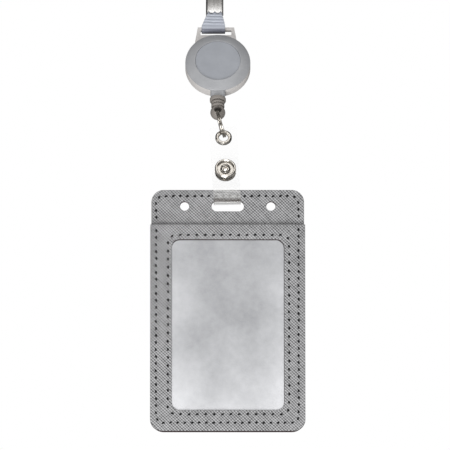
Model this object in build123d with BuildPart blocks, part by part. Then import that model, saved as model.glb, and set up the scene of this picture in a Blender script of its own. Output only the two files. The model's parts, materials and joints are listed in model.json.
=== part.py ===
from build123d import *
import os
from math import acos, asin, atan2, cos, degrees, hypot, pi, radians, sin

# Retractable badge reel with its lanyard end, clear snap strap and window badge holder.
# It hangs: +Z is up and the front faces -Y. The origin is the top centre of the lanyard's crimp.
# All sizes are in millimetres.

# ---------------------------------------------------------------- lanyard end
CRIMP_W = 8.2
CRIMP_H = 8.6
CRIMP_DEPTH = 3.4
CRIMP_WALL = 0.5
CRIMP_SEAM = 0.6
CRIMP_CLEAR = 0.2
TOOTH_COUNT = 3
TOOTH_DEPTH = 0.9
WEB_T = 0.7
WEB_W = 11.1
WEB_SHIFT = -0.6
LOOP_DROP = 8.3
REEL_SHIFT = 1.5
BAR_ROOM = 0.2

# ---------------------------------------------------------------- reel case
REEL_D = 30.4
CASE_FRONT = 2.6
CASE_BACK = 3.6
COVER_RISE = 2.2
COVER_SLOPE = 2.4
BAND_BULGE = 0.25
CASE_WALL = 1.2
BACK_FLOOR = 1.2
BACK_ROUND = 1.0
RECESS_D = 21.1
RECESS_DEPTH = 0.5
LABEL_T = 0.4
COVER_FLOOR = 1.0
LABEL_CLEAR = 0.05

# the ear stands on the rear shell and has a slot for the webbing
EAR_SHIFT = -0.9
EAR_RISE = 5.9
EAR_TOP_W = 17.0
EAR_LAP = 1.7
EAR_FOOT_W = 19.5
EAR_T = 1.5
EAR_Y = 0.5
BAR_H = 1.6
SLOT_W = 14.4
SLOT_H = 2.6
EAR_SLOT_ROUND = 0.5

# the nozzle lets the cord out at the bottom, and its front face is level with the parting line
NOZZLE_REACH = 2.7
NOZZLE_W = 6.8
NOZZLE_T = 4.8
NOZZLE_ROUND = 1.3
NOZZLE_BORE = 1.3
NOZZLE_ROOT = 0.1

# ---------------------------------------------------------------- spool, spring and cord
POST_R = 1.6
POST_PIN_R = 0.8
RUN_GAP = 0.05
SIDE_GAP = 0.2
FLANGE_R = 12.9
FLANGE_T = 0.7
CHANNEL_W = 3.0
DRUM_R = 8.0
DRUM_WALL = 0.8
SPOOL_CAP_T = 0.35
SPRING_T = 0.25
SPRING_H = 2.8
SPRING_TURNS = 6
SPRING_CLEAR = 0.25
POST_SLOT_W = 0.35
CORD_D = 0.8
CORD_LENGTH = 850.0
CORD_PITCH = 0.85
CORD_GAP = 0.1
RUN_SHORT = 0.38
LEAD_DROP = 0.6

# ---------------------------------------------------------------- boot and ball on the cord's end
BOOT_GAP = 0.1
COLLAR_R = 3.75
COLLAR_H = 1.7
RIB_R = 3.1
RIB_H = 1.15
RIB_COUNT = 2
GROOVE_R = 2.45
GROOVE_H = 0.45
NECK_R = 2.3
BALL_R = 3.5
BOOT_LENGTH = 7.7
BALL_FLAT = 4.6
FLAT_RIM = 0.7
KNOT_RISE = 2.1
BALL_HOLE_R = 1.8
KNOT_R = 1.5
KNOT_H = 2.2

# ---------------------------------------------------------------- split ring
WIRE_D = 0.76
RING_R = 6.15
RING_PITCH = 0.8
RING_LEAN = 12.5
RING_TURN = 0.577
RING_DROP = 0.2

# ---------------------------------------------------------------- clear strap
STRAP_W = 12.6
STRAP_T = 0.5
STRAP_LEAN = 2.8
STRAP_END = 5.5
GROMMET_HOLE_R = 2.2
GROMMET_R = 3.85
GROMMET_WALL = 0.35
GROMMET_EDGE = 0.6
RING_IN_HOLE = 1.35
SNAP_DROP = 18.3
SNAP_HOLE_R = 1.2
LEAF_GAP = 1.2
SNAP_R = 4.9
SNAP_DEPTH = 1.7
SNAP_RECESS_R = 3.85
SNAP_POST_R = 2.45
SNAP_POST_BORE = 1.6
SNAP_DOME_R = 1.15
SOCKET_R = 4.2
SOCKET_T = 0.75
STUD_R = 1.6
STUD_GAP = 0.15
STUD_BASE_R = 3.9
STUD_BASE_T = 0.3
FOLD_DROP = 34.8
FOLD_R = 1.6
LOOP_FRONT = 3.95
LOOP_BACK = 2.65
FLAP_GAP = 0.5
FLAP_BULGE = 0.6
FLAP_START = 1.3
FLAP_END = 6.3
FOLD_Y = -0.85

# ---------------------------------------------------------------- badge holder
HOLDER_W = 71.8
HEAD_INSET = 0.5
HOLDER_H = 114.2
HOLDER_R = 5.8
HOLDER_TILT = 18.0
HOLDER_SHIFT = 0.24
LEATHER_T = 0.7
CORE_T = 0.4
LINER_T = 0.15
POCKET_T = 0.8
FILM_T = 0.2
PANEL_DROP = 16.8
PANEL_RIM = 4.6
HANG_SLOT_W = 15.1
HANG_SLOT_H = 4.9
HOLES_DROP = 7.7
SIDE_HOLE_R = 2.15
SIDE_HOLE_X = 20.0
WINDOW_W = 51.9
WINDOW_H = 80.4
WINDOW_DROP = 24.2
WINDOW_R = 3.7
FILM_LAP = 3.5
SEAM_SIDE = 2.9
SEAM_SHIFT = -0.2
SEAM_TOP = 2.95
SEAM_FOOT = 3.8
SEAM_R = 3.5
SEAM_PITCH = 3.3
INNER_SEAM = 2.1
INNER_SHIFT_X = 0.35
INNER_SHIFT_Y = 0.3
INNER_PITCH = 3.85
STITCH_L = 1.15
STITCH_W = 0.85
STITCH_T = 0.3

# ---------------------------------------------------------------- places worked out from the sizes
EAR_TOP = REEL_D / 2 + EAR_RISE
EAR_FOOT = REEL_D / 2 - EAR_LAP
NOZZLE_END = REEL_D / 2 + NOZZLE_REACH
BALL_DROP = NOZZLE_END + BOOT_LENGTH
BAR_Y = EAR_Y + EAR_T / 2
BAR_Z = EAR_TOP - BAR_H / 2
BAR_REACH = hypot(BAR_H, EAR_T) / 2
LOOP_R = BAR_REACH + BAR_ROOM
REEL = Vector(REEL_SHIFT, -BAR_Y, -CRIMP_H - LOOP_DROP - BAR_Z)
CAVITY_R = REEL_D / 2 - CASE_WALL
CAVITY_BACK = CASE_BACK - BACK_FLOOR
PARTING = NOZZLE_T / 2
COVER_TOP = CASE_FRONT + COVER_RISE
RECESS_FLOOR = COVER_TOP - RECESS_DEPTH - LABEL_T
CAVITY_FRONT = RECESS_FLOOR - COVER_FLOOR
DRUM_BORE = DRUM_R - DRUM_WALL
SPOOL_BACK = CAVITY_BACK - SIDE_GAP
CHANNEL_Y = SPOOL_BACK - FLANGE_T - CHANNEL_W / 2
SPOOL_FRONT = CHANNEL_Y - CHANNEL_W / 2 - FLANGE_T
SPOOL_FLOOR = SPOOL_BACK - FLANGE_T
CORD_ROWS = int(CHANNEL_W / CORD_PITCH)
WOUND_AREA = CORD_LENGTH * CORD_PITCH ** 2 / CORD_ROWS / CORD_PITCH
WOUND_R = (DRUM_R ** 2 + WOUND_AREA / pi) ** 0.5
BALL = REEL + Vector(0, 0, -BALL_DROP)
LEAN = radians(RING_LEAN)
RING_DOWN = Vector(sin(LEAN), 0, -cos(LEAN))
RING_AXIS = Vector(cos(LEAN), -RING_TURN * sin(LEAN), sin(LEAN)).normalized()
RING_TOP = BALL + Vector(0, 0, -RING_DROP)
RING = RING_TOP + RING_DOWN * RING_R
GROMMET = RING + RING_DOWN * RING_R + Vector(0, 0, -RING_IN_HOLE)
SLANT = radians(STRAP_LEAN)
STRAP_UP = Vector(-sin(SLANT), 0, cos(SLANT))
STRAP_ACROSS = Vector(cos(SLANT), 0, sin(SLANT))
SNAP = GROMMET - STRAP_UP * SNAP_DROP
FOLD = GROMMET - STRAP_UP * FOLD_DROP + Vector(0, FOLD_Y, 0)
TILT = radians(HOLDER_TILT)
HOLDER_FRONT = Vector(0, -cos(TILT), -sin(TILT))
HOLDER = FOLD + Vector(HOLDER_SHIFT, 0, 0)
HEAD_W = HOLDER_W - 2 * HEAD_INSET
HOLDER_TOP = HOLES_DROP - HANG_SLOT_H / 2
HOLES_Y = HOLDER_TOP - HOLES_DROP
HOLDER_MID = HOLDER_TOP - HOLDER_H / 2
PANEL_TOP = HOLDER_TOP - PANEL_DROP
PANEL_H = HOLDER_H - PANEL_DROP
PANEL_MID = PANEL_TOP - PANEL_H / 2
WINDOW_MID = HOLDER_TOP - WINDOW_DROP - WINDOW_H / 2
BASE_FACE = CORE_T / 2 + LEATHER_T
LINER_FACE = BASE_FACE + LINER_T
FILM_BACK = LINER_FACE + POCKET_T
PANEL_BACK = FILM_BACK + FILM_T
PANEL_FACE = PANEL_BACK + LEATHER_T
LEAF_Y = 0.0
FLAP_Y = -LEAF_GAP - STRAP_T
SNAP_BEND = -SNAP_DROP - SNAP_R - 1.0
BAND_TOP = -FOLD_DROP + HOLDER_TOP


def front_plane(spot, y=0.0):
    """Upright plane that faces the front, moved back by y: sketch x is right, sketch y is up."""
    return Plane(origin=(spot.X, spot.Y + y, spot.Z), x_dir=(1, 0, 0), z_dir=(0, -1, 0))


def depth_plane(spot):
    """Level plane through spot: sketch x is right, sketch y is to the back."""
    return Plane(origin=tuple(spot), x_dir=(1, 0, 0), z_dir=(0, 0, 1))


def side_plane(spot):
    """Upright plane seen from the side: sketch x is to the back, sketch y is up."""
    return Plane(origin=tuple(spot), x_dir=(0, 1, 0), z_dir=(1, 0, 0))


def strap_side():
    """Side view of the leaning strap, from the grommet: sketch x is to the back, y up the strap."""
    return Plane(origin=tuple(GROMMET), x_dir=(0, 1, 0), z_dir=tuple(STRAP_ACROSS))


def strap_front(spot):
    """Front view of the strap at spot, leaning with it."""
    return Plane(origin=tuple(spot), x_dir=tuple(STRAP_ACROSS), z_dir=(0, -1, 0))


def holder_plane(height=0.0):
    """Plane of the tilted holder, height in front of its middle: sketch y is up the holder."""
    return Plane(origin=tuple(HOLDER + HOLDER_FRONT * height), x_dir=(1, 0, 0), z_dir=tuple(HOLDER_FRONT))


def depth_axis(spot):
    """Front-to-back axis through spot."""
    return Axis(tuple(spot), (0, 1, 0))


def finish(piece, name):
    """Labels a finished piece and writes it."""
    piece.part.label = name
    export_step(piece.part, f"parts/{name}.step")


os.makedirs("parts", exist_ok=True)


# ================================================================ lanyard end
def build_crimp():
    """Bent clamp with a seam at the back and a toothed lower edge."""
    tooth_pitch = CRIMP_W / TOOTH_COUNT
    with BuildPart() as crimp:
        with BuildSketch(Plane.XY.offset(-CRIMP_H)):
            RectangleRounded(CRIMP_W, CRIMP_DEPTH, 1.0)
            RectangleRounded(CRIMP_W - 2 * CRIMP_WALL, CRIMP_DEPTH - 2 * CRIMP_WALL, 0.5, mode=Mode.SUBTRACT)
            with Locations((0, CRIMP_DEPTH / 2)):
                Rectangle(CRIMP_SEAM, 2 * CRIMP_WALL + 0.2, mode=Mode.SUBTRACT)
        extrude(amount=CRIMP_H)
        with BuildSketch(Plane.XZ):
            with Locations((0, -CRIMP_H)):
                with GridLocations(tooth_pitch, 1, TOOTH_COUNT, 1):
                    Triangle(a=tooth_pitch * 0.7, b=TOOTH_DEPTH * 1.6, c=TOOTH_DEPTH * 1.6)
        extrude(amount=CRIMP_DEPTH, both=True, mode=Mode.SUBTRACT)
    finish(crimp, "lanyard_crimp")


def build_loop():
    """Webbing that comes down in front of the ear's bar, round it and up behind it into the crimp."""
    outer = LOOP_R + WEB_T
    drop = LOOP_DROP
    lean_out = asin(LOOP_R / drop)
    half = CRIMP_DEPTH / 2 - CRIMP_WALL - CRIMP_CLEAR
    inner_x = LOOP_R * cos(lean_out)
    inner_y = LOOP_R * sin(lean_out)
    outer_x = outer * cos(lean_out)
    outer_y = outer * sin(lean_out)
    bar = Vector(0, 0, -CRIMP_H - drop)
    top = CRIMP_H + drop - 0.4
    inside = CRIMP_W / 2 - CRIMP_WALL - CRIMP_CLEAR
    with BuildPart() as loop:
        with BuildSketch(side_plane(bar)):
            with BuildLine():
                Polyline((-outer_x, outer_y), (-half, drop), (-half, top), (half, top), (half, drop),
                         (outer_x, outer_y))
                ThreePointArc((outer_x, outer_y), (0, -outer), (-outer_x, outer_y))
            make_face()
            with BuildLine():
                Line((inner_x, inner_y), (0, drop - 0.3))
                Line((0, drop - 0.3), (-inner_x, inner_y))
                ThreePointArc((-inner_x, inner_y), (0, -LOOP_R), (inner_x, inner_y))
            make_face(mode=Mode.SUBTRACT)
        extrude(amount=WEB_W, both=True)
        with BuildSketch(front_plane(bar, 10)):
            with BuildLine():
                Polyline((WEB_SHIFT - WEB_W / 2, -2 * outer), (WEB_SHIFT - WEB_W / 2, 0.6),
                         (-inside, drop), (-inside, top), (inside, top), (inside, drop),
                         (WEB_SHIFT + WEB_W / 2, 0.6), (WEB_SHIFT + WEB_W / 2, -2 * outer),
                         (WEB_SHIFT - WEB_W / 2, -2 * outer))
            make_face()
        extrude(amount=20, mode=Mode.INTERSECT)
    finish(loop, "lanyard_loop")


# ================================================================ reel case
def build_rear_shell():
    """Back part of the case: deep dish, post, ear with its slot, and the nozzle."""
    r = REEL_D / 2
    turn = BACK_ROUND * cos(pi / 4)
    flat = r - BACK_ROUND
    shoulder = CASE_BACK - BACK_ROUND
    with BuildPart() as shell:
        with BuildSketch(depth_plane(REEL)):
            with BuildLine():
                Polyline((0, CASE_BACK), (0, CAVITY_BACK), (CAVITY_R, CAVITY_BACK), (CAVITY_R, -PARTING),
                         (r, -PARTING), (r, shoulder))
                ThreePointArc((r, shoulder), (flat + turn, shoulder + turn), (flat, CASE_BACK))
                Line((flat, CASE_BACK), (0, CASE_BACK))
            make_face()
        revolve(axis=depth_axis(REEL))
        with BuildSketch(front_plane(REEL, EAR_Y + EAR_T)):
            with Locations((EAR_SHIFT, 0)):
                Polygon((-EAR_FOOT_W / 2, 0), (-EAR_FOOT_W / 2, EAR_FOOT), (-EAR_TOP_W / 2, EAR_TOP),
                        (EAR_TOP_W / 2, EAR_TOP), (EAR_FOOT_W / 2, EAR_FOOT), (EAR_FOOT_W / 2, 0), align=None)
            Circle(r - 0.3, mode=Mode.SUBTRACT)
        extrude(amount=EAR_T)
        with BuildSketch(front_plane(REEL, CASE_BACK)):
            with Locations((EAR_SHIFT, EAR_TOP - BAR_H - SLOT_H / 2)):
                RectangleRounded(SLOT_W, SLOT_H, EAR_SLOT_ROUND)
        extrude(amount=CASE_BACK, mode=Mode.SUBTRACT)
        with BuildSketch(Plane(origin=(REEL.X, REEL.Y, REEL.Z - NOZZLE_END), z_dir=(0, 0, 1))):
            RectangleRounded(NOZZLE_W, NOZZLE_T, NOZZLE_ROUND)
        extrude(amount=NOZZLE_END - CAVITY_R - NOZZLE_ROOT)
        with Locations(Plane(origin=(REEL.X, REEL.Y, REEL.Z - NOZZLE_END / 2 - CAVITY_R / 2))):
            Cylinder(NOZZLE_BORE, NOZZLE_END, mode=Mode.SUBTRACT)
        with BuildSketch(front_plane(REEL, CAVITY_BACK)):
            Circle(POST_R)
            Circle(POST_PIN_R, mode=Mode.SUBTRACT)
        extrude(amount=CAVITY_BACK - SPOOL_FRONT)
        with BuildSketch(front_plane(REEL, SPOOL_FLOOR - SIDE_GAP)):
            with Locations((POST_R / 2, 0)):
                Rectangle(POST_R + 1, POST_SLOT_W)
        extrude(amount=SPOOL_FLOOR - SIDE_GAP - SPOOL_FRONT, mode=Mode.SUBTRACT)
    finish(shell, "rear_shell")


def build_front_cover():
    """Front cover of the case: rim, sloped band, recess for the label disc, and the pin."""
    r = REEL_D / 2
    recess = RECESS_D / 2
    middle = ((r + recess) / 2 + BAND_BULGE, -(CASE_FRONT + COVER_RISE * 0.62))
    with BuildPart() as cover:
        with BuildSketch(depth_plane(REEL)):
            with BuildLine():
                Polyline((0, -CAVITY_FRONT), (CAVITY_R - COVER_SLOPE, -CAVITY_FRONT), (CAVITY_R, -PARTING),
                         (r, -PARTING), (r, -CASE_FRONT))
                ThreePointArc((r, -CASE_FRONT), middle, (recess, -COVER_TOP))
                Polyline((recess, -COVER_TOP), (recess, -RECESS_FLOOR), (0, -RECESS_FLOOR),
                         (0, -CAVITY_FRONT))
            make_face()
        revolve(axis=depth_axis(REEL))
        with BuildSketch(front_plane(REEL, -CAVITY_FRONT)):
            Circle(POST_R)
        extrude(amount=SPOOL_FRONT + CAVITY_FRONT, dir=(0, 1, 0))
        with BuildSketch(front_plane(REEL, SPOOL_FRONT)):
            Circle(POST_PIN_R)
        extrude(amount=2.0, dir=(0, 1, 0))
    finish(cover, "front_cover")


def build_label_disc():
    """Round plate glued into the recess of the cover."""
    with BuildPart() as disc:
        with BuildSketch(front_plane(REEL, -RECESS_FLOOR)):
            Circle(RECESS_D / 2 - LABEL_CLEAR)
        extrude(amount=LABEL_T)
        fillet(disc.edges().group_by(Axis.Y)[0], 0.12)
    finish(disc, "label_disc")


# ================================================================ spool, spring and cord
def build_spool():
    """Drum with two flanges. Its hub turns on the post, and its front is open for the spring."""
    with BuildPart() as spool:
        with BuildSketch(depth_plane(REEL)):
            with BuildLine():
                Polyline((POST_R + RUN_GAP, SPOOL_BACK), (FLANGE_R, SPOOL_BACK), (FLANGE_R, SPOOL_FLOOR),
                         (DRUM_R, SPOOL_FLOOR), (DRUM_R, SPOOL_FRONT + FLANGE_T),
                         (FLANGE_R, SPOOL_FRONT + FLANGE_T), (FLANGE_R, SPOOL_FRONT),
                         (DRUM_BORE, SPOOL_FRONT), (DRUM_BORE, SPOOL_FLOOR),
                         (POST_R + RUN_GAP, SPOOL_FLOOR), (POST_R + RUN_GAP, SPOOL_BACK))
            make_face()
        revolve(axis=depth_axis(REEL))
    finish(spool, "spool")


def build_spool_cap():
    """Thin cover over the spring chamber."""
    with BuildPart() as cap:
        with BuildSketch(front_plane(REEL, SPOOL_FRONT)):
            Circle(DRUM_R + 0.6)
            Circle(POST_R + 2 * RUN_GAP + 0.2, mode=Mode.SUBTRACT)
        extrude(amount=SPOOL_CAP_T)
    finish(cap, "spool_cap")


def spring_point(turn):
    """A point on the spring's spiral, after so many turns from the post."""
    start = POST_R + SPRING_T
    reach = DRUM_BORE - SPRING_CLEAR - SPRING_T / 2
    r = start + (reach - start) * turn / SPRING_TURNS
    return (r * cos(2 * pi * turn), r * sin(2 * pi * turn))


def build_mainspring():
    """Flat spiral spring. Its inner end is bent into the slot of the post."""
    turns = [n / 8 for n in range(8 * SPRING_TURNS + 1)]
    low = SPOOL_FLOOR - SIDE_GAP - 0.05
    with BuildPart() as spring:
        with BuildSketch(front_plane(REEL, low)):
            with BuildLine():
                Spline(*[spring_point(n) for n in turns])
            trace(line_width=SPRING_T)
            with Locations((POST_R - 0.15, 0)):
                Rectangle(1.0, SPRING_T)
        extrude(amount=SPRING_H)
    finish(spring, "mainspring")


def build_winding():
    """The wound layers of the cord, as one ring of grooved layers."""
    rows = CORD_ROWS
    width = rows * CORD_PITCH
    with BuildPart() as winding:
        with BuildSketch(depth_plane(REEL)):
            with Locations(((DRUM_R + WOUND_R) / 2, CHANNEL_Y)):
                Rectangle(WOUND_R - DRUM_R, width)
            with Locations(*[(WOUND_R, CHANNEL_Y + (n - rows / 2) * CORD_PITCH) for n in range(rows + 1)]):
                Circle(0.12, mode=Mode.SUBTRACT)
        revolve(axis=depth_axis(REEL))
    finish(winding, "cord_winding")


def cord_spots():
    """Where the cord leaves the winding, and where it turns down into the nozzle."""
    r = WOUND_R + CORD_GAP + CORD_D / 2
    turn = CAVITY_R - 0.5
    swing = acos(r / turn)
    return Vector(r * sin(swing), CHANNEL_Y, -r * cos(swing)), Vector(0, 0, -turn)


def build_cord():
    """The inner run to the nozzle, and the lead from the nozzle to the knot in the boot."""
    leave, turn = cord_spots()
    along = turn - leave
    heading = along.normalized()
    run_end = turn - heading * RUN_SHORT
    with BuildPart() as run:
        with BuildSketch(Plane(origin=tuple(REEL + leave), z_dir=tuple(heading))):
            Circle(CORD_D / 2)
        extrude(amount=along.length - RUN_SHORT)
    finish(run, "cord_run")
    top = REEL.Z + run_end.Z - LEAD_DROP
    foot = REEL.Z - BALL_DROP + KNOT_RISE + KNOT_H
    with BuildPart() as lead:
        with BuildSketch(Plane(origin=(REEL.X, REEL.Y, foot), z_dir=(0, 0, 1))):
            Circle(CORD_D / 2)
        extrude(amount=top - foot)
    finish(lead, "cord_lead")
    with BuildPart() as knot:
        with BuildSketch(Plane(origin=(REEL.X, REEL.Y, foot - KNOT_H), z_dir=(0, 0, 1))):
            Circle(KNOT_R)
        extrude(amount=KNOT_H)
        fillet(knot.edges(), 0.5)
    finish(knot, "cord_knot")
    return top, foot


# ================================================================ boot and ball
def build_boot(foot):
    """Soft boot: collar and ribs over a neck, and a ball with flats and a cross hole."""
    top = BALL_DROP - NOZZLE_END - BOOT_GAP
    low = foot - BALL.Z - KNOT_H
    with BuildPart() as boot:
        with BuildSketch(side_plane(BALL)):
            Circle(BALL_R)
            with Locations((0, top / 2)):
                Rectangle(2 * NECK_R, top)
            ladder = top
            for radius, height in boot_steps():
                with Locations((0, ladder - height / 2)):
                    Rectangle(2 * radius, height)
                ladder -= height
            with Locations((-BALL_R * 2, 0)):
                Rectangle(BALL_R * 4, BALL_R * 8, mode=Mode.SUBTRACT)
        revolve(axis=Axis(tuple(BALL), (0, 0, 1)))
        round_boot(boot)
        with BuildSketch(front_plane(BALL, BALL_R)):
            Circle(BALL_HOLE_R)
        extrude(amount=2 * BALL_R, mode=Mode.SUBTRACT)
        for side in (-1, 1):
            with BuildSketch(front_plane(BALL, side * BALL_FLAT / 2)):
                Circle(BALL_HOLE_R + FLAT_RIM)
            extrude(amount=BALL_R, dir=(0, side, 0), mode=Mode.SUBTRACT)
        with BuildSketch(Plane(origin=tuple(BALL + Vector(0, 0, low)), z_dir=(0, 0, 1))):
            Circle(KNOT_R + 0.05)
        extrude(amount=KNOT_H + 0.05, mode=Mode.SUBTRACT)
        with BuildSketch(Plane(origin=tuple(BALL + Vector(0, 0, low)), z_dir=(0, 0, 1))):
            Circle(CORD_D / 2 + 0.05)
        extrude(amount=2 * top, mode=Mode.SUBTRACT)
    finish(boot, "cord_end_boot")


def boot_steps():
    """Radius and height of each step of the boot, from the top down."""
    steps = [(COLLAR_R, COLLAR_H), (GROOVE_R, GROOVE_H)]
    for _ in range(RIB_COUNT):
        steps += [(RIB_R, RIB_H), (GROOVE_R, GROOVE_H)]
    return steps


def round_boot(boot):
    """Rounds the outer edges of the collar and the ribs."""
    for radius in (COLLAR_R, RIB_R):
        rims = boot.edges().filter_by(GeomType.CIRCLE).filter_by(lambda e, r=radius: abs(e.radius - r) < 0.01)
        fillet(rims, 0.3)


# ================================================================ split ring
def build_ring():
    """Two turns of spring wire, side by side."""
    turns_height = 2 * RING_PITCH
    lie = Plane(origin=tuple(RING), x_dir=tuple(RING_AXIS.cross(RING_DOWN)), z_dir=tuple(RING_AXIS))
    coil = lie.offset(-turns_height / 2) * Helix(RING_PITCH, turns_height, RING_R)
    with BuildPart() as ring:
        with BuildSketch(Plane(coil @ 0, z_dir=coil % 0)):
            Circle(WIRE_D / 2)
        sweep(path=coil, is_frenet=True)
    finish(ring, "split_ring")


# ================================================================ clear strap
def build_rear_leaf():
    """Rear layer of the strap, with the fold at its foot, a grommet hole and a snap hole."""
    with BuildPart() as leaf:
        with BuildSketch(strap_side()):
            with BuildLine():
                FilletPolyline((LEAF_Y, STRAP_END), (LEAF_Y, SNAP_BEND), (FOLD_Y + LOOP_BACK, BAND_TOP + 0.9),
                               (FOLD_Y + LOOP_BACK, BAND_TOP - 1.2), (FOLD_Y + FOLD_R, -FOLD_DROP),
                               (FOLD_Y + FOLD_R, -FOLD_DROP - FOLD_R), (FOLD_Y - FOLD_R, -FOLD_DROP - FOLD_R),
                               (FOLD_Y - FOLD_R, -FOLD_DROP), radius=[3, 1.6, 2, 2, 1.3, 1.3])
            trace(line_width=STRAP_T)
        extrude(amount=STRAP_W / 2, both=True)
        for spot, radius in ((GROMMET, GROMMET_HOLE_R + GROMMET_WALL), (SNAP, SNAP_HOLE_R)):
            with BuildSketch(strap_front(spot)):
                Circle(radius)
            extrude(amount=STRAP_T, both=True, mode=Mode.SUBTRACT)
    finish(leaf, "strap_rear_leaf")


def build_flap():
    """Front layer of the strap, from just above the fold up over the holder to the snap."""
    with BuildPart() as flap:
        with BuildSketch(strap_side()):
            with BuildLine():
                FilletPolyline((FOLD_Y - FOLD_R, FLAP_GAP - FOLD_DROP),
                               (FOLD_Y - FOLD_R - FLAP_BULGE, FLAP_START - FOLD_DROP),
                               (FOLD_Y - LOOP_FRONT, BAND_TOP - 1.2), (FOLD_Y - LOOP_FRONT, BAND_TOP + 0.9),
                               (FLAP_Y, SNAP_BEND), (FLAP_Y, FLAP_END - SNAP_DROP), radius=[0.8, 2, 1.6, 3])
            trace(line_width=STRAP_T)
        extrude(amount=STRAP_W / 2, both=True)
        with BuildSketch(strap_front(SNAP + Vector(0, FLAP_Y, 0))):
            Circle(SNAP_HOLE_R)
        extrude(amount=STRAP_T, both=True, mode=Mode.SUBTRACT)
    finish(flap, "strap_front_leaf")


def ring_profile(name, spot, points):
    """A turned metal piece on a front-to-back axis, from its radius and depth points."""
    with BuildPart() as piece:
        with BuildSketch(Plane(origin=tuple(spot), x_dir=tuple(STRAP_ACROSS), z_dir=tuple(STRAP_UP))):
            Polygon(*points, align=None)
        revolve(axis=depth_axis(spot))
    finish(piece, name)


def build_grommet():
    """Eyelet from the front and its washer behind."""
    t = STRAP_T / 2
    hole = GROMMET_HOLE_R
    wall = hole + GROMMET_WALL
    mid = (wall + GROMMET_R) / 2
    front = -t - GROMMET_EDGE
    back = t + GROMMET_EDGE
    ring_profile("strap_grommet", GROMMET, [
        (hole, back - 0.15), (hole, front + 0.3), (hole + 0.3, front), (mid, front), (GROMMET_R, -t - 0.15),
        (GROMMET_R, -t), (wall, -t), (wall, back - 0.15)])
    ring_profile("grommet_washer", GROMMET, [
        (wall, t), (wall, back - 0.2), (mid, back), (GROMMET_R, t + 0.15), (GROMMET_R, t)])


def build_snap():
    """Open cap and socket on the flap, stud and post on the rear leaf."""
    back = FLAP_Y + STRAP_T / 2
    face = FLAP_Y - STRAP_T / 2
    front = face - SNAP_DEPTH
    ring_profile("snap_cap", SNAP, [
        (0, face), (SNAP_R - 0.35, face), (SNAP_R, face - 0.35), (SNAP_R, front + 0.4), (SNAP_R - 0.4, front),
        (SNAP_RECESS_R + 0.3, front), (SNAP_RECESS_R, front + 0.3), (SNAP_RECESS_R, face - 0.35),
        (SNAP_POST_R, face - 0.35), (SNAP_POST_R, front + 0.65), (SNAP_POST_R - 0.3, front + 0.45),
        (SNAP_POST_BORE, front + 0.65), (SNAP_POST_BORE, face - 0.5), (SNAP_DOME_R, face - 0.5),
        (SNAP_DOME_R * 0.7, face - 0.8), (0, face - 0.9)])
    bore = STUD_R + STUD_GAP
    socket_back = back + SOCKET_T
    ring_profile("snap_socket", SNAP, [
        (bore, back), (bore, socket_back - 0.2), (bore + 0.2, socket_back), (SOCKET_R - 0.3, socket_back),
        (SOCKET_R, socket_back - 0.3), (SOCKET_R, back)])
    leaf = -STRAP_T / 2
    base = leaf - STUD_BASE_T
    tip = back + 0.15
    ring_profile("snap_stud", SNAP, [
        (0, leaf), (STUD_BASE_R, leaf), (STUD_BASE_R, leaf - STUD_BASE_T * 0.5), (STUD_BASE_R - 0.3, base),
        (STUD_R - 0.15, base), (STUD_R, tip + 0.3), (STUD_R - 0.3, tip), (0, tip)])
    ring_profile("snap_stud_post", SNAP, [
        (0, leaf), (SNAP_HOLE_R, leaf), (SNAP_HOLE_R, -leaf), (SNAP_R, -leaf), (SNAP_R, 0.35 - leaf),
        (SNAP_R - 0.4, 0.7 - leaf), (0, 0.8 - leaf)])


# ================================================================ badge holder
def head_cuts():
    """The slot and the two round holes of the holder's head, in a sketch on the holder's plane."""
    with Locations((0, HOLES_Y)):
        SlotOverall(HANG_SLOT_W, HANG_SLOT_H, mode=Mode.SUBTRACT)
        with GridLocations(2 * SIDE_HOLE_X, 1, 2, 1):
            Circle(SIDE_HOLE_R, mode=Mode.SUBTRACT)


def build_sheet(name, back, thickness):
    """One full sheet of the holder."""
    with BuildPart() as sheet:
        with BuildSketch(holder_plane(back)):
            with Locations((0, HOLDER_MID)):
                RectangleRounded(HEAD_W, HOLDER_H, HOLDER_R)
            head_cuts()
        extrude(amount=thickness)
    finish(sheet, name)


def build_front_panel():
    """Lower front panel with the window. A rim on three sides keeps the card pocket open."""
    with BuildPart() as panel:
        with BuildSketch(holder_plane(BASE_FACE)):
            panel_outline()
            with Locations((0, PANEL_MID + PANEL_RIM)):
                Rectangle(HOLDER_W - 2 * PANEL_RIM, PANEL_H, mode=Mode.SUBTRACT)
        extrude(amount=PANEL_BACK - BASE_FACE)
        with BuildSketch(holder_plane(PANEL_BACK)):
            panel_outline()
            with Locations((0, WINDOW_MID)):
                RectangleRounded(WINDOW_W, WINDOW_H, WINDOW_R, mode=Mode.SUBTRACT)
        extrude(amount=LEATHER_T)
    finish(panel, "holder_front_panel")


def panel_outline():
    """The panel is as wide as the holder, square at its top and rounded at its foot."""
    with Locations((0, PANEL_MID)):
        RectangleRounded(HOLDER_W, PANEL_H, HOLDER_R)
    with Locations((0, PANEL_TOP - HOLDER_R)):
        Rectangle(HOLDER_W, 2 * HOLDER_R)


def build_window_parts():
    """Clear film behind the window, and the thin liner behind the card."""
    sheets = (("window_film", FILM_BACK, FILM_T), ("pocket_liner", BASE_FACE, LINER_T))
    for name, back, thickness in sheets:
        with BuildPart() as sheet:
            with BuildSketch(holder_plane(back)):
                with Locations((0, WINDOW_MID)):
                    Rectangle(WINDOW_W + 2 * FILM_LAP, WINDOW_H + 2 * FILM_LAP)
            extrude(amount=thickness)
        finish(sheet, name)


def seam_spots(width, height, shift, middle, radius, pitch):
    """Places of the stitches, evenly round a rounded rectangle."""
    outline = Pos(shift, middle) * RectangleRounded(width, height, radius).wire()
    count = round(outline.length / pitch)
    spots = []
    for n in range(count):
        point = outline.position_at(n / count)
        heading = outline.tangent_at(n / count)
        spots.append(Location((point.X, point.Y), degrees(atan2(heading.Y, heading.X))))
    return spots


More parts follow.
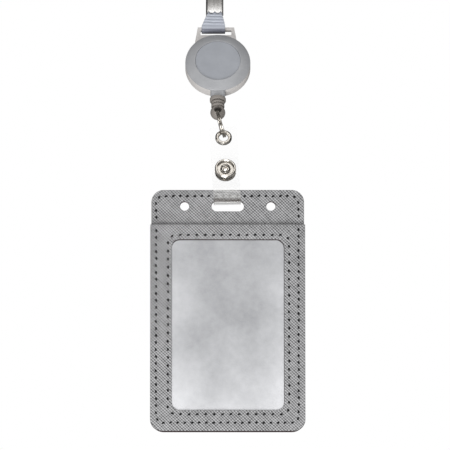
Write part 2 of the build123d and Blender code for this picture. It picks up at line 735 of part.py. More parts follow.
def build_stitches(name, spots):
    """One seam, as short threads that lie on the leather."""
    high = [spot for spot in spots if spot.position.Y > PANEL_TOP + STITCH_L]
    low = [spot for spot in spots if spot.position.Y < PANEL_TOP - STITCH_L / 2]
    with BuildPart() as seam:
        for level, chosen in ((BASE_FACE, high), (PANEL_FACE, low)):
            if chosen:
                with BuildSketch(holder_plane(level)):
                    with Locations(*chosen):
                        Rectangle(STITCH_L, STITCH_W)
                extrude(amount=STITCH_T)
    finish(seam, name)


def build_holder():
    """All layers and seams of the holder."""
    half = CORE_T / 2
    build_sheet("holder_back_panel", -half - LEATHER_T, LEATHER_T)
    build_sheet("holder_stiffener", -half, CORE_T)
    build_sheet("holder_base_panel", half, LEATHER_T)
    build_front_panel()
    build_window_parts()
    seam_h = HOLDER_H - SEAM_TOP - SEAM_FOOT
    seam_mid = HOLDER_TOP - SEAM_TOP - seam_h / 2
    outer = seam_spots(HOLDER_W - 2 * SEAM_SIDE, seam_h, SEAM_SHIFT, seam_mid, SEAM_R, SEAM_PITCH)
    inner_w = WINDOW_W + 2 * INNER_SEAM
    inner_h = WINDOW_H + 2 * INNER_SEAM
    inner_mid = WINDOW_MID + INNER_SHIFT_Y
    inner = seam_spots(inner_w, inner_h, INNER_SHIFT_X, inner_mid, WINDOW_R, INNER_PITCH)
    build_stitches("outer_stitching", outer)
    build_stitches("inner_stitching", inner)


build_crimp()
build_loop()
build_rear_shell()
build_front_cover()
build_label_disc()
build_spool()
build_spool_cap()
build_mainspring()
build_winding()
LEAD_TOP, LEAD_FOOT = build_cord()
build_boot(LEAD_FOOT)
build_ring()
build_rear_leaf()
build_flap()
build_grommet()
build_snap()
build_holder()
for name, spot in (("reel", REEL), ("ball", BALL), ("ring", RING), ("grommet", GROMMET), ("snap", SNAP),
                   ("fold", FOLD), ("holder", HOLDER)):
    print(name, [round(v, 3) for v in spot])
print("wound radius", round(WOUND_R, 3), "lead", round(LEAD_TOP, 3), round(LEAD_FOOT, 3))
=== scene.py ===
# %% [markdown]
# # A retractable badge reel with its strap and holder
#
# The object hangs from a lanyard: a metal crimp, a loop of satin webbing, the reel, a split ring, a clear
# snap strap and a stitched badge holder. The frame gives every moving and fitting part at its place. This
# script adds what a rigid model leaves out: cloth, thread, thin sheets, rounded leather and the finishes.

# %% The frame and the units
import json
from math import asin, atan2, cos, degrees, pi, radians, sin

import bmesh
import bpy
from mathutils import Euler, Matrix, Vector
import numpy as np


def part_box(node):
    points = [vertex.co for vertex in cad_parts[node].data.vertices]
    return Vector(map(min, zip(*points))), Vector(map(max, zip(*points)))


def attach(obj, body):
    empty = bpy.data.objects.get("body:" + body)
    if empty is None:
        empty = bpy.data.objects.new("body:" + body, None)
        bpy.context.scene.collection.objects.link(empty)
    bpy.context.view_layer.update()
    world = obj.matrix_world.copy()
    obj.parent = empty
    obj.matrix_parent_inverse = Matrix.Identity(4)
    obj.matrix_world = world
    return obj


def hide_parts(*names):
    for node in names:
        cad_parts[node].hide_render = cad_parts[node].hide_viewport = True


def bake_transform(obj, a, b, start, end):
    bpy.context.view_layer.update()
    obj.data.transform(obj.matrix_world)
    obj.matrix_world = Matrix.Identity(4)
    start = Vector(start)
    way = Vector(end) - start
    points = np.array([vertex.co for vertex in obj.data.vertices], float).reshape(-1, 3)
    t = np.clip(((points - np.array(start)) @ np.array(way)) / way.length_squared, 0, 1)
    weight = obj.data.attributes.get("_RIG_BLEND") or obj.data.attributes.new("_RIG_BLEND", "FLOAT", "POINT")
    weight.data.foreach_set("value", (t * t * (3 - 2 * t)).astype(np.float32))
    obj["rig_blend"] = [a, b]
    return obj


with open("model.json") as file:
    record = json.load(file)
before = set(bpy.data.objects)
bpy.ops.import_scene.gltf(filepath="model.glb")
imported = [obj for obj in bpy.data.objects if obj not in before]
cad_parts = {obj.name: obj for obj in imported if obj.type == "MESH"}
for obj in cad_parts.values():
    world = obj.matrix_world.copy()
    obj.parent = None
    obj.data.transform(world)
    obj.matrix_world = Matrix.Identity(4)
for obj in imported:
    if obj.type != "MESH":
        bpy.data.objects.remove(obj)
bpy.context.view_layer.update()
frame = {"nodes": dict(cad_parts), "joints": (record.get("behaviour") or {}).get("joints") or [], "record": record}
MM = 0.001
nodes = frame["nodes"]
joints = {joint["name"]: joint for joint in frame["joints"]}

# %% [markdown]
# The joints say where things turn, so the main places come from them. The reel turns about the bar of its
# ear, the strap leans a little to the side, and the holder's sheets lie in a plane that leans back.

# %% Places read from the frame
bar = Vector(joints["reel_swing"]["pos_m"])
reel = Vector(joints["spool_spin"]["pos_m"])
fold_front = Vector(joints["snap_open"]["pos_m"])
across = Vector(joints["snap_open"]["axis"])
fold = Vector(joints["holder_swing"]["pos_m"])
strap_lean = atan2(across.z, across.x)
hole = next(m for m in frame["record"]["mounts"] if m["name"] == "hole_left")
holder_out = Vector(hole["axis"])
holder_tilt = asin(-holder_out.z)
holder_up = Vector((0, -sin(holder_tilt), cos(holder_tilt)))
print("strap leans", round(degrees(strap_lean), 1), "holder tilts", round(degrees(holder_tilt), 1))

# %% [markdown]
# ## Small tools
#
# Operators act on whatever is selected, so each step starts by deselecting all. A finished piece keeps its place
# in its mesh, with its object at the origin, so that patterns stay put.


# %% Selecting, naming and finishing a piece
def focus(piece):
    """Selects one piece only and makes it active."""
    if bpy.context.object and bpy.context.object.mode != "OBJECT":
        bpy.ops.object.mode_set(mode="OBJECT")
    bpy.ops.object.select_all(action="DESELECT")
    piece.select_set(True)
    bpy.context.view_layer.objects.active = piece


def take_new(name):
    """Names the object that an operator has just made."""
    piece = bpy.context.object
    piece.name = name
    piece.data.name = name
    return piece


def settle(piece):
    """Moves the object's place, turn and scale into its mesh."""
    focus(piece)
    bpy.ops.object.transform_apply(location=True, rotation=True, scale=True)


def modify(piece, kind, **values):
    """Adds a modifier, sets its values and applies it."""
    focus(piece)
    modifier = piece.modifiers.new(kind.title(), kind)
    for key, value in values.items():
        setattr(modifier, key, value)
    bpy.ops.object.modifier_apply(modifier=modifier.name)


def smooth(piece, angle=40):
    """Smooth shading, with edges sharper than the angle kept crisp."""
    focus(piece)
    bpy.ops.object.shade_smooth_by_angle(angle=radians(angle))


def face_out(piece):
    """Merges doubles and turns all faces outwards."""
    focus(piece)
    bpy.ops.object.mode_set(mode="EDIT")
    bpy.ops.mesh.select_all(action="SELECT")
    bpy.ops.mesh.remove_doubles(threshold=0.001 * MM)
    bpy.ops.mesh.normals_make_consistent(inside=False)
    bpy.ops.object.mode_set(mode="OBJECT")


def hand_over(piece, body, slot_name, *replaced):
    """Rides a piece on its body and hides the nodes that it stands for."""
    if "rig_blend" not in piece:
        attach(piece, body)
    if replaced:
        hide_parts(*replaced)
    print(piece.name, "faces:", len(piece.data.polygons))


# %% [markdown]
# A cut sheet of leather or a bent sheet of steel has no knife-sharp edge. A copy of the exact solid is
# merged into clean faces, and a bevel rounds every edge of it a little, so that the edge catches light.


# %% A softened copy of a solid
DOUBLES = 0.002 * MM
BEVEL_SEGMENTS = 3


def softened(node, name, width, corner=30, reshape=None):
    """A copy of a node with rounded edges. reshape may change its mesh before the bevel."""
    focus(nodes[node])
    bpy.ops.object.duplicate()
    piece = take_new(name)
    piece.parent = None
    bpy.ops.object.mode_set(mode="EDIT")
    bpy.ops.mesh.select_all(action="SELECT")
    bpy.ops.mesh.remove_doubles(threshold=DOUBLES)
    bpy.ops.mesh.dissolve_limited(angle_limit=radians(0.5))
    bpy.ops.object.mode_set(mode="OBJECT")
    if reshape:
        reshape(piece)
    modify(piece, "BEVEL", width=width, segments=BEVEL_SEGMENTS, limit_method="ANGLE",
           angle_limit=radians(corner), harden_normals=False)
    smooth(piece)
    return piece


# %% [markdown]
# Two shapes come back several times. Webbing and strap are both a flat strip that follows a way seen from
# the side, so one edge is extruded step by step along it. Cord and stitch are both a cylinder that is bent
# afterwards, so its long edges are cut into short ones first, which gives it points to bend at.


# %% A strip along its way, and a cylinder that can bend
def extrude_strip(name, way, width, columns):
    """Extrudes an edge across x along a way of y and z places."""
    bpy.ops.mesh.primitive_plane_add(size=1, location=(0, 0, 0))
    piece = take_new(name)
    focus(piece)
    bpy.ops.object.mode_set(mode="EDIT")
    bpy.ops.mesh.select_mode(type="VERT")
    bpy.ops.mesh.select_all(action="DESELECT")
    bpy.ops.object.mode_set(mode="OBJECT")
    for vertex in piece.data.vertices:
        vertex.select = vertex.co.y > 0
    bpy.ops.object.mode_set(mode="EDIT")
    bpy.ops.mesh.delete(type="VERT")
    bpy.ops.mesh.select_mode(type="EDGE")
    bpy.ops.mesh.select_all(action="SELECT")
    bpy.ops.transform.resize(value=(width, 1, 1), center_override=(0, 0, 0))
    bpy.ops.transform.translate(value=(0, 0.5 + way[0][0], way[0][1]))
    bpy.ops.mesh.subdivide(number_cuts=columns - 1)
    for (y0, z0), (y1, z1) in zip(way, way[1:]):
        bpy.ops.mesh.extrude_region_move(TRANSFORM_OT_translate={"value": (0, y1 - y0, z1 - z0)})
    bpy.ops.object.mode_set(mode="OBJECT")
    return piece


def way_length(way):
    """The length of a way of points."""
    return sum((Vector(b) - Vector(a)).length for a, b in zip(way, way[1:]))


def cut_long_edges(piece, axis, limit, cuts):
    """Cuts every edge that reaches further than a limit along an axis."""
    bpy.ops.object.mode_set(mode="EDIT")
    bpy.ops.mesh.select_all(action="DESELECT")
    bpy.ops.object.mode_set(mode="OBJECT")
    for edge in piece.data.edges:
        start, end = (piece.data.vertices[index].co for index in edge.vertices)
        edge.select = abs(start[axis] - end[axis]) > limit
    bpy.ops.object.mode_set(mode="EDIT")
    bpy.ops.mesh.select_mode(type="EDGE")
    bpy.ops.mesh.subdivide(number_cuts=cuts)
    bpy.ops.object.mode_set(mode="OBJECT")


# %% [markdown]
# ## Shared effects
#
# Several finishes need the same effect at another scale: a moulded grain, the hatching of imitation
# leather, the ribs of woven yarn, or the fine scratches of handled metal. Each is a node group that is
# built once. It takes a position in millimetres and gives colours, a roughness and a height.


# %% A group with named inputs and outputs
OUTPUTS = (("Color", "NodeSocketColor"), ("Roughness", "NodeSocketFloat"),
           ("Height", "NodeSocketFloat"))
SOCKETS = {float: "NodeSocketFloat", tuple: "NodeSocketColor", type(None): "NodeSocketVector"}


def new_group(name, inputs):
    """An empty effect group: named inputs with defaults, and the three usual outputs."""
    group = bpy.data.node_groups.new(name, "ShaderNodeTree")
    for label, default in inputs.items():
        socket = group.interface.new_socket(label, in_out="INPUT", socket_type=SOCKETS[type(default)])
        if default is not None:
            socket.default_value = default
    for label, kind in OUTPUTS:
        group.interface.new_socket(label, in_out="OUTPUT", socket_type=kind)
    return group, group.nodes.new("NodeGroupInput"), group.nodes.new("NodeGroupOutput")


def add(tree, kind, settings=None, **inputs):
    """Adds a node, sets its properties, and sets or links its inputs by name."""
    node = tree.nodes.new(kind)
    for key, value in (settings or {}).items():
        setattr(node, key, value)
    for key, value in inputs.items():
        socket = node.inputs[int(key[1:])] if key[0] == "i" and key[1:].isdigit() else node.inputs[key]
        if isinstance(value, bpy.types.NodeSocket):
            tree.links.new(value, socket)
        else:
            socket.default_value = value
    return node


def noise(tree, where, scale, detail=3.0, rough=0.55):
    """Noise at a scale per millimetre."""
    node = add(tree, "ShaderNodeTexNoise", Vector=where, Scale=scale, Detail=detail, Roughness=rough)
    return node.outputs["Fac"]


def math(tree, operation, a, b=0.0, clamp=False):
    """One arithmetic step."""
    return add(tree, "ShaderNodeMath", {"operation": operation, "use_clamp": clamp}, i0=a, i1=b).outputs[0]


def mix_colors(tree, amount, a, b):
    """A mix of two colours."""
    node = add(tree, "ShaderNodeMix", {"data_type": "RGBA"}, i0=amount, i6=a, i7=b)
    return node.outputs[2]


def stretch(tree, value, low, high, to_low=0.0, to_high=1.0):
    """Maps a range to another one, clamped."""
    node = add(tree, "ShaderNodeMapRange", i0=value, i1=low, i2=high, i3=to_low, i4=to_high)
    return node.outputs[0]


def total(tree, first, *rest):
    """A sum of values, each a socket alone or a pair of a socket and its weight."""
    terms = [math(tree, "MULTIPLY", *term) if isinstance(term, tuple) else term for term in (first, *rest)]
    result = terms[0]
    for term in terms[1:]:
        result = math(tree, "ADD", result, term)
    return result


def deliver(tree, start, end, tone, gloss, height, ends=("Rough Low", "Rough High"), span=(0.0, 1.0)):
    """Gives a group its outputs: colour by tone, roughness by gloss over a span, and the height."""
    tree.links.new(mix_colors(tree, tone, start.outputs["Dark"], start.outputs["Light"]),
                   end.inputs["Color"])
    rough = stretch(tree, gloss, *span, start.outputs[ends[0]], start.outputs[ends[1]])
    tree.links.new(rough, end.inputs["Roughness"])
    tree.links.new(height, end.inputs["Height"])


# %% [markdown]
# Moulded plastic has a fine even texture from the mould, with faint clouds where hands and the flow of
# the plastic have changed its gloss. Two noises do this: a fine one for the height, a wide one for tone.


# %% Moulded grain
def build_moulded():
    """Fine grain, wide clouds of tone and a few handling marks."""
    tree, start, end = new_group("moulded_grain", {
        "Vector": None, "Dark": (0.3, 0.3, 0.3, 1), "Light": (0.4, 0.4, 0.4, 1), "Grain": 4.0,
        "Cloud": 0.12, "Rough Low": 0.4, "Rough High": 0.6})
    grain = noise(tree, start.outputs["Vector"], start.outputs["Grain"], 4.0)
    cloud = noise(tree, start.outputs["Vector"], start.outputs["Cloud"], 4.0, 0.6)
    marks = stretch(tree, noise(tree, start.outputs["Vector"], 0.9, 6.0, 0.7), 0.58, 0.78)
    tone = stretch(tree, total(tree, cloud, (grain, 0.3)), 0.45, 0.85)
    deliver(tree, start, end, tone, total(tree, cloud, (marks, 0.5)), grain, span=(0.25, 1.0))
    return tree


# %% [markdown]
# The holder is imitation leather with a cross-hatched embossing: two families of fine diagonal grooves
# that cut the skin into small raised pillows. The grooves that fall to the right are the deeper ones.
# Dark wax lies in streaks along both families, so some lines read darker than others. The pattern is
# turned into the plane of the holder, so it lies flat on the sheet.


# %% Cross-hatched leather
def build_hatched():
    """Two crossing families of grooves with pillows between them, and streaks of wax along both."""
    tree, start, end = new_group("hatched_leather", {
        "Vector": None, "Dark": (0.1, 0.1, 0.1, 1), "Light": (0.4, 0.4, 0.4, 1), "Pitch": 0.75,
        "Rough Low": 0.45, "Rough High": 0.75})
    sway = add(tree, "ShaderNodeTexNoise", Vector=start.outputs["Vector"], Scale=0.25, Detail=2.0)
    shift = add(tree, "ShaderNodeVectorMath", {"operation": "SCALE"}, i0=sway.outputs["Color"], Scale=0.35)
    where = add(tree, "ShaderNodeVectorMath", {"operation": "ADD"}, i0=start.outputs["Vector"],
                i1=shift.outputs[0]).outputs[0]
    parts = add(tree, "ShaderNodeSeparateXYZ", i0=where)
    grooves, streaks = [], []
    for side, share in ((1.0, 1.0), (-1.0, 0.8)):
        slant = math(tree, "MULTIPLY_ADD", parts.outputs[1], side)
        tree.links.new(math(tree, "MULTIPLY", parts.outputs[0], share), slant.node.inputs[2])
        turns = math(tree, "DIVIDE", math(tree, "MULTIPLY", slant, pi * 0.707), start.outputs["Pitch"])
        wave = math(tree, "ABSOLUTE", math(tree, "SINE", turns))
        grooves.append(math(tree, "POWER", wave, 1.6))
        along = add(tree, "ShaderNodeMapping", {"vector_type": "TEXTURE"}, Vector=start.outputs["Vector"],
                    Rotation=(0, 0, -side * pi / 4), Scale=(6.0, 0.9, 1.0))
        streaks.append(noise(tree, along.outputs[0], 1.0, 2.0, 0.5))
    pillow = math(tree, "MULTIPLY", grooves[0], grooves[1])
    wax = stretch(tree, total(tree, streaks[0], (streaks[1], 0.6)), 0.6, 1.0)
    speck = noise(tree, start.outputs["Vector"], 1.2, 3.0, 0.6)
    cloud = noise(tree, start.outputs["Vector"], 0.09, 3.0)
    tone = total(tree, (grooves[0], 0.6), (grooves[1], 0.28), (wax, 0.22), (speck, 0.3), (cloud, 0.12))
    deliver(tree, start, end, stretch(tree, tone, 0.35, 1.25), pillow, total(tree, pillow, (speck, 0.4)),
            ends=("Rough High", "Rough Low"))
    return tree


# %% [markdown]
# Yarn, cord and webbing are all made of fine parallel ribs. One group gives ribs across a chosen
# direction with small breaks in them, so satin shows its floats and a cord shows its plait.


# %% Ribs of yarn
def build_yarn():
    """Ribs along x and finer ones along z, broken up by noise."""
    tree, start, end = new_group("yarn_ribs", {
        "Vector": None, "Dark": (0.3, 0.3, 0.35, 1), "Light": (0.6, 0.6, 0.65, 1), "Pitch": 0.35,
        "Rough Low": 0.35, "Rough High": 0.65})
    parts = add(tree, "ShaderNodeSeparateXYZ", i0=start.outputs["Vector"])
    wobble = noise(tree, start.outputs["Vector"], 0.7, 2.0)
    ribs = []
    for axis, share in ((0, 1.0), (2, 0.6)):
        place = total(tree, parts.outputs[axis], (wobble, 0.15))
        turns = math(tree, "DIVIDE", math(tree, "MULTIPLY", place, 2 * pi * share), start.outputs["Pitch"])
        ribs.append(math(tree, "MULTIPLY_ADD", math(tree, "SINE", turns), 0.5))
        ribs[-1].node.inputs[2].default_value = 0.5
    cell = math(tree, "MULTIPLY_ADD", ribs[0], 0.65)
    tree.links.new(math(tree, "MULTIPLY", ribs[1], 0.35), cell.node.inputs[2])
    fuzz = noise(tree, start.outputs["Vector"], 3.0, 3.0, 0.7)
    tone = stretch(tree, total(tree, (cell, 0.5), (fuzz, 0.6)), 0.25, 0.95)
    deliver(tree, start, end, tone, cell, cell, ends=("Rough High", "Rough Low"))
    return tree


# %% [markdown]
# Plated and brushed metal is never a perfect mirror. Fine scratches run along the rolling direction, and
# tarnish gathers in soft patches. The group takes a position that is already stretched along the grain.


# %% Handled metal
def build_metal():
    """Fine scratches, soft tarnish and a low height for the bump."""
    tree, start, end = new_group("handled_metal", {
        "Vector": None, "Dark": (0.3, 0.28, 0.25, 1), "Light": (0.7, 0.68, 0.65, 1), "Scratch": 6.0,
        "Rough Low": 0.12, "Rough High": 0.3})
    scratch = noise(tree, start.outputs["Vector"], start.outputs["Scratch"], 5.0, 0.7)
    patch = noise(tree, start.outputs["Vector"], 0.5, 4.0, 0.6)
    tone = stretch(tree, total(tree, (patch, 0.8), (scratch, 0.3)), 0.35, 0.7)
    deliver(tree, start, end, tone, total(tree, scratch, patch), scratch, span=(0.7, 1.3))
    return tree


# %% [markdown]
# The window's film has gone cloudy with age and handling in soft blotches, and it is paler towards its foot and
# its sides. The group needs a position centred on the window.


# %% Clouded film
def build_clouded():
    """Blotches of two sizes, paler at the foot and at both sides."""
    tree, start, end = new_group("clouded_film", {
        "Vector": None, "Dark": (0.4, 0.4, 0.4, 1), "Light": (0.7, 0.7, 0.7, 1), "Half Width": 26.0,
        "Half Height": 40.0, "Rough Low": 0.3, "Rough High": 0.6})
    where = start.outputs["Vector"]
    parts = add(tree, "ShaderNodeSeparateXYZ", i0=where)
    side = math(tree, "DIVIDE", math(tree, "ABSOLUTE", parts.outputs[0]), start.outputs["Half Width"])
    down = math(tree, "MULTIPLY", parts.outputs[1], -1.0)
    foot = math(tree, "DIVIDE", down, start.outputs["Half Height"])
    blotch = noise(tree, where, 0.045, 3.0, 0.5)
    small = noise(tree, where, 0.35, 5.0, 0.65)
    grain = noise(tree, where, 1.5, 3.0, 0.6)
    at_side = stretch(tree, side, 0.45, 1.0, 0.0, 0.28)
    at_foot = stretch(tree, foot, 0.25, 0.95, 0.0, 0.5)
    tone = total(tree, (blotch, 0.9), (small, 0.3), (grain, 0.15), at_side, at_foot)
    deliver(tree, start, end, stretch(tree, tone, 0.4, 1.35), small, total(tree, small, (grain, 0.3)),
            span=(0.3, 0.7))
    return tree


EFFECTS = {"moulded": build_moulded(), "hatched": build_hatched(), "yarn": build_yarn(),
           "metal": build_metal(), "clouded": build_clouded()}
print("effects:", ", ".join(EFFECTS))

# %% [markdown]
# ## The finishes
#
# A finish is one effect with its own colours, and a shader with its own gloss, sheen or clearness. The
# position is turned and scaled to millimetres by a mapping, and the height drives a bump.


# %% One function for every finish
BUMP_DEPTH = 0.1 * MM


def finish(name, effect, dark, light, low, high, bump, turn=(0, 0, 0), squeeze=(1, 1, 1),
           centre=(0, 0, 0), extra=None, **shader):
    """A material from one effect. extra holds the effect's own values, shader the Principled ones."""
    material = bpy.data.materials.new(name)
    material.use_nodes = True
    tree = material.node_tree
    principled = tree.nodes["Principled BSDF"]
    place = add(tree, "ShaderNodeTexCoord")
    to_middle = Euler(turn).to_matrix() @ Vector(c * s / MM for c, s in zip(centre, squeeze))
    mapping = add(tree, "ShaderNodeMapping", Vector=place.outputs["Object"], Rotation=turn,
                  Scale=[s / MM for s in squeeze], Location=-to_middle)
    group = tree.nodes.new("ShaderNodeGroup")
    group.node_tree = EFFECTS[effect]
    tree.links.new(mapping.outputs[0], group.inputs["Vector"])
    group.inputs["Dark"].default_value = (*dark, 1)
    group.inputs["Light"].default_value = (*light, 1)
    group.inputs["Rough Low"].default_value = low
    group.inputs["Rough High"].default_value = high
    for key, value in (extra or {}).items():
        group.inputs[key].default_value = value
    tree.links.new(group.outputs["Color"], principled.inputs["Base Color"])
    tree.links.new(group.outputs["Roughness"], principled.inputs["Roughness"])
    relief = add(tree, "ShaderNodeBump", Height=group.outputs["Height"], Strength=bump,
                 Distance=BUMP_DEPTH)
    tree.links.new(relief.outputs[0], principled.inputs["Normal"])
    for key, value in shader.items():
        principled.inputs[key.replace("_", " ")].default_value = value
    print("finish:", name, "from", effect)
    return material


def dress(target, material):
    """Gives a piece or a node one material."""
    piece = nodes[target] if isinstance(target, str) else target
    piece.data.materials.clear()
    piece.data.materials.append(material)


# %% [markdown]
# The cover and the rear shell are the same ABS in two greys: the cover is darker and a little blue, the
# shell paler and warm. The label is smoother than both. The boot is a soft rubber, dull and a little brown.

# %% Plastics and rubber
cover_grey = finish("cover_grey", "moulded", (0.32, 0.326, 0.34), (0.385, 0.391, 0.405),
                    0.34, 0.52, 0.06, Specular_IOR_Level=0.45)
shell_grey = finish("shell_grey", "moulded", (0.60, 0.577, 0.562), (0.74, 0.715, 0.70),
                    0.36, 0.55, 0.06, Specular_IOR_Level=0.5)
label_grey = finish("label_grey", "moulded", (0.305, 0.32, 0.352), (0.35, 0.366, 0.40),
                    0.28, 0.42, 0.03, Specular_IOR_Level=0.5)
boot_grey = finish("boot_grey", "moulded", (0.20, 0.183, 0.165), (0.31, 0.285, 0.265),
                   0.45, 0.65, 0.12, Specular_IOR_Level=0.35)
spool_white = finish("spool_white", "moulded", (0.62, 0.61, 0.58), (0.78, 0.77, 0.74),
                     0.25, 0.4, 0.04)

# %% [markdown]
# The metal parts are nickel plated: bright, a little warm, and scratched. The crimp is plain steel whose
# grain runs down its length, so its position is squeezed along z and the scratches become long lines.

# %% Metals
nickel = finish("nickel", "metal", (0.50, 0.47, 0.43), (0.72, 0.69, 0.64),
                0.18, 0.28, 0.02, Metallic=1.0)
ring_wire = finish("ring_wire", "metal", (0.46, 0.43, 0.39), (0.70, 0.67, 0.62),
                   0.2, 0.3, 0.02, Metallic=1.0)
crimp_steel = finish("crimp_steel", "metal", (0.34, 0.335, 0.33), (0.56, 0.555, 0.55),
                     0.22, 0.4, 0.1, squeeze=(1, 1, 0.06), Metallic=1.0)
spring_blue = finish("spring_blue", "metal", (0.12, 0.13, 0.17), (0.30, 0.32, 0.38),
                     0.2, 0.35, 0.05, Metallic=1.0)

# %% [markdown]
# The leather's hatching is turned back by the holder's tilt, so that its x and y lie in the sheet. Its
# core is a dark maroon board that shows as a line along the cut edge.

# %% Leather, board and thread
to_sheet = (-pi / 2 - holder_tilt, 0, 0)
leather = finish("leather", "hatched", (0.035, 0.035, 0.036), (0.50, 0.50, 0.508),
                 0.42, 0.7, 0.5, turn=to_sheet, extra={"Pitch": 1.0}, Specular_IOR_Level=0.35)
core_board = finish("core_board", "moulded", (0.055, 0.018, 0.024), (0.12, 0.04, 0.055),
                    0.6, 0.8, 0.2)
black_thread = finish("black_thread", "yarn", (0.003, 0.003, 0.004), (0.012, 0.012, 0.013),
                      0.5, 0.75, 0.3, turn=to_sheet, extra={"Pitch": 0.25}, Specular_IOR_Level=0.2)

# %% [markdown]
# The embossed skin's colour stops at the cut, and the walls of the holes, of the window and round the sheet are
# coloured dark. The surface's own normal tells a wall from a face, because a wall doesn't face outwards.


# %% Dark cut edges
WALL_FACING, FLAT_FACING = 0.75, 0.93


def darken_cuts(material, color):
    """Colours a sheet's walls, where its surface turns away from the holder's front and back."""
    tree = material.node_tree
    principled = tree.nodes["Principled BSDF"]
    normal = tree.nodes["Texture Coordinate"].outputs["Normal"]
    along = add(tree, "ShaderNodeVectorMath", {"operation": "DOT_PRODUCT"}, i0=normal, i1=holder_out)
    flat = stretch(tree, math(tree, "ABSOLUTE", along.outputs["Value"]), WALL_FACING, FLAT_FACING)
    skin = principled.inputs["Base Color"].links[0].from_socket
    tree.links.new(mix_colors(tree, flat, (*color, 1), skin), principled.inputs["Base Color"])


darken_cuts(leather, (0.022, 0.012, 0.013))

# %% [markdown]
# Satin webbing is bluish grey with a sheen. The pull cord is the same kind of yarn, darker, in a plait.

# %% Cloth and cord
satin = finish("satin", "yarn", (0.40, 0.43, 0.50), (0.66, 0.69, 0.76), 0.3, 0.5, 0.35,
               extra={"Pitch": 0.42}, Sheen_Weight=0.25, Sheen_Roughness=0.4)
nylon = finish("nylon", "yarn", (0.20, 0.20, 0.21), (0.38, 0.38, 0.39), 0.4, 0.6, 0.5,
               turn=(0, radians(40), 0), extra={"Pitch": 0.4}, Sheen_Weight=0.2)

# %% [markdown]
# Where the webbing runs round the bar, its fold lies deep between the webbing and the case, so painted shade
# darkens it. The height alone tells where that is, because the fold is the lowest part of the loop.


# %% Painted shade in the fold of the webbing
# the strongest mix of painted shade in the fold
DEEPEST_FOLD_SHADE = 0.75


def height_of(tree):
    """The height of a point of the surface, in metres."""
    place = tree.nodes["Texture Coordinate"].outputs["Object"]
    return add(tree, "ShaderNodeSeparateXYZ", i0=place).outputs[2]


def paint_fold_shade(material, from_z, to_z, color):
    """Mixes in a dark colour as painted shade below from_z, at its strongest at to_z."""
    tree = material.node_tree
    principled = tree.nodes["Principled BSDF"]
    fold_shade = stretch(tree, height_of(tree), from_z, to_z, 0.0, DEEPEST_FOLD_SHADE)
    cloth = principled.inputs["Base Color"].links[0].from_socket
    tree.links.new(mix_colors(tree, fold_shade, cloth, (*color, 1)), principled.inputs["Base Color"])


# painted shade in the webbing's fold under the bar, between the webbing and the case
paint_fold_shade(satin, bar.z - 0.1 * MM, bar.z - 0.9 * MM, (0.10, 0.105, 0.15))

# %% [markdown]
# Clear vinyl lets nearly all light through, and is seen by its gloss and its edges. The window's film is
# frosted with age, and the liner shows through it. Alpha does this, because thin sheet hardly bends light.

# %% Clear sheets and the liner
window_low, window_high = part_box("window_film")
window_middle = (window_low + window_high) / 2
clear_vinyl = finish("clear_vinyl", "moulded", (0.80, 0.79, 0.77), (0.93, 0.92, 0.90),
                     0.08, 0.25, 0.05, Specular_IOR_Level=0.6)
frosted = finish("frosted", "clouded", (0.37, 0.375, 0.39), (0.82, 0.825, 0.845), 0.3, 0.6, 0.05,
                 turn=to_sheet, centre=window_middle, Alpha=0.7, Specular_IOR_Level=0.4)
liner = finish("liner", "clouded", (0.40, 0.405, 0.42), (0.82, 0.825, 0.84), 0.5, 0.7, 0.1,
               turn=to_sheet, centre=window_middle)

# %% [markdown]
# Where the strap is bent over the holder the vinyl turns milky in streaks, partly its own whitening and partly a
# painted highlight along the bend. Inside the loop the strap gets painted shade, the shade between its layers, so
# it looks darker. Both are bands across the strap, so the height alone tells where they are.


# %% Milky bends with a painted highlight, and painted shade in the strap's loop
# alphas of the clear strap, of its milky bend with painted highlight and of the painted shade in its loop, then
# that shade's colour
CLEAR_ALPHA, MILK_AND_HIGHLIGHT_ALPHA, LOOP_SHADE_ALPHA = 0.035, 0.15, 0.3
LOOP_SHADE_COLOR = (0.13, 0.115, 0.10, 1)


def below(tree, level, soft):
    """One below a height and nought above it, with a soft edge."""
    return stretch(tree, height_of(tree), level + soft, level - soft)


def haze_and_shade_strap(material, loop_bottom, loop_top, bend_top):
    """Sets the strap's alpha and colour by height: clear, milky in the bend with a painted highlight, and painted
    shade in the loop.
    """
    tree = material.node_tree
    principled = tree.nodes["Principled BSDF"]
    place = tree.nodes["Texture Coordinate"].outputs["Object"]
    below_bend = below(tree, bend_top, 0.2 * MM)
    in_or_below_loop = below(tree, loop_top, 0.3 * MM)
    below_loop = below(tree, loop_bottom, 0.3 * MM)
    flat = add(tree, "ShaderNodeMapping", Vector=place, Scale=(130, 130, 1400))
    streaks = stretch(tree, noise(tree, flat.outputs[0], 1.0, 4.0, 0.6), 0.35, 0.68, 0.05, 1.7)
    milk_and_highlight = math(tree, "MULTIPLY", math(tree, "SUBTRACT", below_bend, in_or_below_loop), streaks)
    loop_shade = math(tree, "SUBTRACT", in_or_below_loop, below_loop)
    alpha = math(tree, "ADD", math(tree, "MULTIPLY", milk_and_highlight, MILK_AND_HIGHLIGHT_ALPHA), CLEAR_ALPHA)
    alpha = math(tree, "ADD", alpha, math(tree, "MULTIPLY", loop_shade, LOOP_SHADE_ALPHA), clamp=True)
    tree.links.new(alpha, principled.inputs["Alpha"])
    clear_color = principled.inputs["Base Color"].links[0].from_socket
    tree.links.new(mix_colors(tree, loop_shade, clear_color, LOOP_SHADE_COLOR), principled.inputs["Base Color"])


# a milky band with painted highlight over the holder's top, and painted shade inside the loop
haze_and_shade_strap(clear_vinyl, fold.z - 1.0 * MM, fold.z + 0.6 * MM, fold.z + 4.6 * MM)
print("finishes:", len(bpy.data.materials))

# %% [markdown]
# ## The reel
#
# The case is exact already: the cover, the deep shell, its ear and its nozzle. Moulded plastic never has
# a sharp corner, so both are copied and every edge is rounded by a tenth of a millimetre or more. The
# nozzle is as dark as the cover, so the faces below the round case get the cover's finish.

